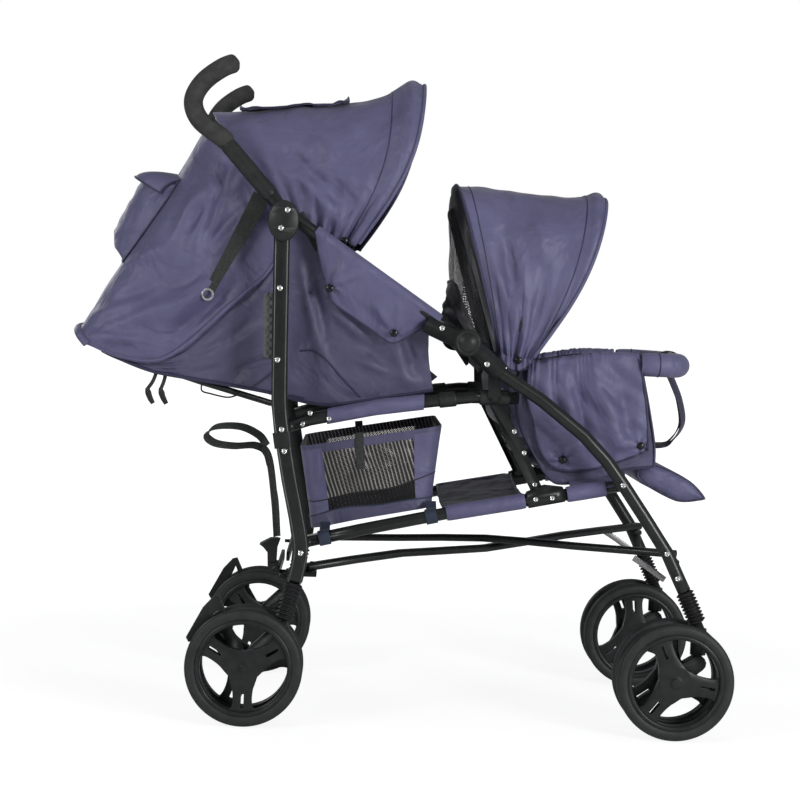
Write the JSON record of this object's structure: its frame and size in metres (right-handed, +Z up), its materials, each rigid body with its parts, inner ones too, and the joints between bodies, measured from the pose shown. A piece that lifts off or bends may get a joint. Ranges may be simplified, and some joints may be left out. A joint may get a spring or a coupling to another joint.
{
  "type": "tandem umbrella stroller",
  "caption": "Folding tandem pushchair with its seats one behind the other, hooded canopies, a padded bumper bar, an under-seat basket and sprung swivel wheels.",
  "frame": {"origin": "on the floor, under the centre of the overall box", "axes": "+Z up, +X the way the stroller travels, +Y to the rider's left, so the XZ plane is the plane of symmetry"},
  "size_m": [1.028, 0.5, 1.0119],
  "materials": {
    "black_painted_tube": "satin black paint on round steel tube",
    "black_plastic": "moulded black plastic with a fine texture",
    "tyre_and_rim": "matt black foam tyre on a moulded plastic wheel",
    "black_rubber": "ribbed rubber bellows",
    "black_foam": "closed-cell foam sleeve",
    "indigo_fabric": "woven polyester, muted indigo",
    "black_mesh_fabric": "open knitted mesh with bound edges",
    "black_webbing": "woven black webbing"
  },
  "bodies": {
    "right_side": {"handle_grip_right": "black_foam", "upper_tube_right": "black_painted_tube", "hinge_cover_right": "black_plastic", "rear_leg_right": "black_painted_tube", "hub_right": "black_plastic", "front_leg_right": "black_painted_tube", "upper_rail_right": "black_painted_tube", "lower_rail_right": "black_painted_tube", "rear_boot_right": "black_rubber", "front_boot_right": "black_rubber", "rear_side_panel_right": "indigo_fabric", "front_side_panel_right": "indigo_fabric", "rear_seat_pad": "indigo_fabric", "rear_canopy": "indigo_fabric", "rear_back_panel": "indigo_fabric", "front_seat_pad": "indigo_fabric", "front_canopy": "indigo_fabric", "crotch_strap": "black_webbing", "basket": "black_mesh_fabric", "fold_strap": "black_webbing"},
    "left_side": {"handle_grip_left": "black_foam", "upper_tube_left": "black_painted_tube", "hinge_cover_left": "black_plastic", "rear_leg_left": "black_painted_tube", "hub_left": "black_plastic", "front_leg_left": "black_painted_tube", "upper_rail_left": "black_painted_tube", "lower_rail_left": "black_painted_tube", "rear_boot_left": "black_rubber", "front_boot_left": "black_rubber", "rear_side_panel_left": "indigo_fabric", "front_side_panel_left": "indigo_fabric"},
    "rear_carrier_right": {"rear_carrier_right": "black_plastic"},
    "brake_pedal_right": {"brake_pedal_right": "black_plastic"},
    "rear_wheel_outer_right": {"rear_wheel_outer_right": "tyre_and_rim"},
    "rear_wheel_inner_right": {"rear_wheel_inner_right": "tyre_and_rim"},
    "front_knuckle_right": {"front_knuckle_right": "black_plastic"},
    "caster_fork_right": {"caster_fork_right": "black_plastic"},
    "front_wheel_outer_right": {"front_wheel_outer_right": "tyre_and_rim"},
    "front_wheel_inner_right": {"front_wheel_inner_right": "tyre_and_rim"},
    "cross_bar_right": {"cross_bar_right": "black_painted_tube"},
    "stretcher_arm_right": {"stretcher_arm_right": "black_painted_tube"},
    "rear_carrier_left": {"rear_carrier_left": "black_plastic"},
    "brake_pedal_left": {"brake_pedal_left": "black_plastic"},
    "rear_wheel_outer_left": {"rear_wheel_outer_left": "tyre_and_rim"},
    "rear_wheel_inner_left": {"rear_wheel_inner_left": "tyre_and_rim"},
    "front_knuckle_left": {"front_knuckle_left": "black_plastic"},
    "caster_fork_left": {"caster_fork_left": "black_plastic"},
    "front_wheel_outer_left": {"front_wheel_outer_left": "tyre_and_rim"},
    "front_wheel_inner_left": {"front_wheel_inner_left": "tyre_and_rim"},
    "cross_bar_left": {"cross_bar_left": "black_painted_tube"},
    "stretcher_arm_left": {"stretcher_arm_left": "black_painted_tube"},
    "fold_lock_pedal": {"fold_lock_pedal": "black_plastic"},
    "rear_backrest": {"rear_backrest": "indigo_fabric", "recline_frame": "black_painted_tube"},
    "front_backrest": {"front_backrest": "indigo_fabric"},
    "rear_canopy_bow": {"rear_canopy_bow": "black_painted_tube"},
    "front_canopy_bow": {"front_canopy_bow": "black_painted_tube"},
    "bumper_bar": {"bumper_bar": "indigo_fabric"},
    "footrest": {"footrest": "indigo_fabric"}
  },
  "joints": [
    {"name": "fold", "type": "slide", "parent": "right_side", "child": "left_side", "axis": [0, -1, 0], "range_m": [0, 0.17], "deforming": ["rear_seat_pad", "rear_backrest", "recline_frame", "rear_canopy", "rear_canopy_bow", "rear_back_panel", "front_seat_pad", "front_backrest", "front_canopy", "front_canopy_bow", "bumper_bar", "footrest", "crotch_strap", "basket"]},
    {"name": "suspension_rear_right", "type": "slide", "parent": "right_side", "child": "rear_carrier_right", "axis": [0.2236, 0, 0.9747], "range_m": [0, 0.012], "stiffness_N_per_m": 4000, "springref_m": -0.02, "deforming": ["rear_boot_right"]},
    {"name": "brake_right", "type": "hinge", "parent": "rear_carrier_right", "child": "brake_pedal_right", "pos_m": [-0.258, -0.216, 0.146], "axis": [0, 1, 0], "range_deg": [-15, 0]},
    {"name": "spin_rear_wheel_outer_right", "type": "hinge", "parent": "rear_carrier_right", "child": "rear_wheel_outer_right", "pos_m": [-0.228, -0.238, 0.089], "axis": [0, 1, 0], "continuous": true},
    {"name": "spin_rear_wheel_inner_right", "type": "hinge", "parent": "rear_carrier_right", "child": "rear_wheel_inner_right", "pos_m": [-0.228, -0.194, 0.089], "axis": [0, 1, 0], "continuous": true},
    {"name": "suspension_front_right", "type": "slide", "parent": "right_side", "child": "front_knuckle_right", "axis": [-0.4321, 0, 0.9018], "range_m": [0, 0.012], "stiffness_N_per_m": 4000, "springref_m": -0.02, "deforming": ["front_boot_right"]},
    {"name": "caster_right", "type": "hinge", "parent": "front_knuckle_right", "child": "caster_fork_right", "pos_m": [0.462, -0.211, 0.128], "axis": [0, 0, 1], "continuous": true},
    {"name": "spin_front_wheel_outer_right", "type": "hinge", "parent": "caster_fork_right", "child": "front_wheel_outer_right", "pos_m": [0.425, -0.238, 0.089], "axis": [0, 1, 0], "continuous": true},
    {"name": "spin_front_wheel_inner_right", "type": "hinge", "parent": "caster_fork_right", "child": "front_wheel_inner_right", "pos_m": [0.425, -0.184, 0.089], "axis": [0, 1, 0], "continuous": true},
    {"name": "cross_bar_swing_right", "type": "hinge", "parent": "right_side", "child": "cross_bar_right", "pos_m": [-0.132, -0.186, 0.238], "axis": [0, 0, 1], "range_deg": [-17, 0]},
    {"name": "stretcher_swing_right", "type": "hinge", "parent": "right_side", "child": "stretcher_arm_right", "pos_m": [-0.183, -0.19, 0.23], "axis": [1, 0, 0], "range_deg": [0, 57]},
    {"name": "suspension_rear_left", "type": "slide", "parent": "left_side", "child": "rear_carrier_left", "axis": [0.2236, 0, 0.9747], "range_m": [0, 0.012], "stiffness_N_per_m": 4000, "springref_m": -0.02, "deforming": ["rear_boot_left"]},
    {"name": "brake_left", "type": "hinge", "parent": "rear_carrier_left", "child": "brake_pedal_left", "pos_m": [-0.258, 0.216, 0.146], "axis": [0, 1, 0], "range_deg": [-15, 0]},
    {"name": "spin_rear_wheel_outer_left", "type": "hinge", "parent": "rear_carrier_left", "child": "rear_wheel_outer_left", "pos_m": [-0.228, 0.238, 0.089], "axis": [0, 1, 0], "continuous": true},
    {"name": "spin_rear_wheel_inner_left", "type": "hinge", "parent": "rear_carrier_left", "child": "rear_wheel_inner_left", "pos_m": [-0.228, 0.194, 0.089], "axis": [0, 1, 0], "continuous": true},
    {"name": "suspension_front_left", "type": "slide", "parent": "left_side", "child": "front_knuckle_left", "axis": [-0.4321, 0, 0.9018], "range_m": [0, 0.012], "stiffness_N_per_m": 4000, "springref_m": -0.02, "deforming": ["front_boot_left"]},
    {"name": "caster_left", "type": "hinge", "parent": "front_knuckle_left", "child": "caster_fork_left", "pos_m": [0.462, 0.211, 0.128], "axis": [0, 0, 1], "continuous": true},
    {"name": "spin_front_wheel_outer_left", "type": "hinge", "parent": "caster_fork_left", "child": "front_wheel_outer_left", "pos_m": [0.425, 0.238, 0.089], "axis": [0, 1, 0], "continuous": true},
    {"name": "spin_front_wheel_inner_left", "type": "hinge", "parent": "caster_fork_left", "child": "front_wheel_inner_left", "pos_m": [0.425, 0.184, 0.089], "axis": [0, 1, 0], "continuous": true},
    {"name": "cross_bar_swing_left", "type": "hinge", "parent": "left_side", "child": "cross_bar_left", "pos_m": [-0.132, 0.186, 0.238], "axis": [0, 0, 1], "range_deg": [0, 17]},
    {"name": "stretcher_swing_left", "type": "hinge", "parent": "left_side", "child": "stretcher_arm_left", "pos_m": [-0.1745, 0.19, 0.23], "axis": [1, 0, 0], "range_deg": [-57, 0]},
    {"name": "lock_pedal", "type": "hinge", "parent": "stretcher_arm_right", "child": "fold_lock_pedal", "pos_m": [-0.192, -0.16, 0.235], "axis": [0, 1, 0], "range_deg": [-8, 0], "deforming": ["fold_strap"]},
    {"name": "rear_recline", "type": "hinge", "parent": "right_side", "child": "rear_backrest", "pos_m": [-0.186, 0, 0.505], "axis": [0, 1, 0], "range_deg": [0, 45]},
    {"name": "front_recline", "type": "hinge", "parent": "right_side", "child": "front_backrest", "pos_m": [0.1705, 0, 0.442], "axis": [0, 1, 0], "range_deg": [-10, 0]},
    {"name": "rear_canopy_hinge", "type": "hinge", "parent": "right_side", "child": "rear_canopy_bow", "pos_m": [-0.1, 0, 0.716], "axis": [0, 1, 0], "range_deg": [-60, 0]},
    {"name": "front_canopy_hinge", "type": "hinge", "parent": "right_side", "child": "front_canopy_bow", "pos_m": [0.17, 0, 0.533], "axis": [0, 1, 0], "range_deg": [-60, 0]},
    {"name": "bumper_bar_pull_off", "type": "slide", "parent": "right_side", "child": "bumper_bar", "axis": [1, 0, 0], "range_m": [0, 0.06]},
    {"name": "footrest_hinge", "type": "hinge", "parent": "right_side", "child": "footrest", "pos_m": [0.369, 0, 0.413], "axis": [0, 1, 0], "range_deg": [-30, 0]}
  ],
  "couplings": [
    {"joint": "cross_bar_swing_right", "follows": "fold", "rad_per_m": -1.675},
    {"joint": "stretcher_swing_right", "follows": "fold", "rad_per_m": 5.796},
    {"joint": "cross_bar_swing_left", "follows": "fold", "rad_per_m": 1.675},
    {"joint": "stretcher_swing_left", "follows": "fold", "rad_per_m": -5.796}
  ]
}
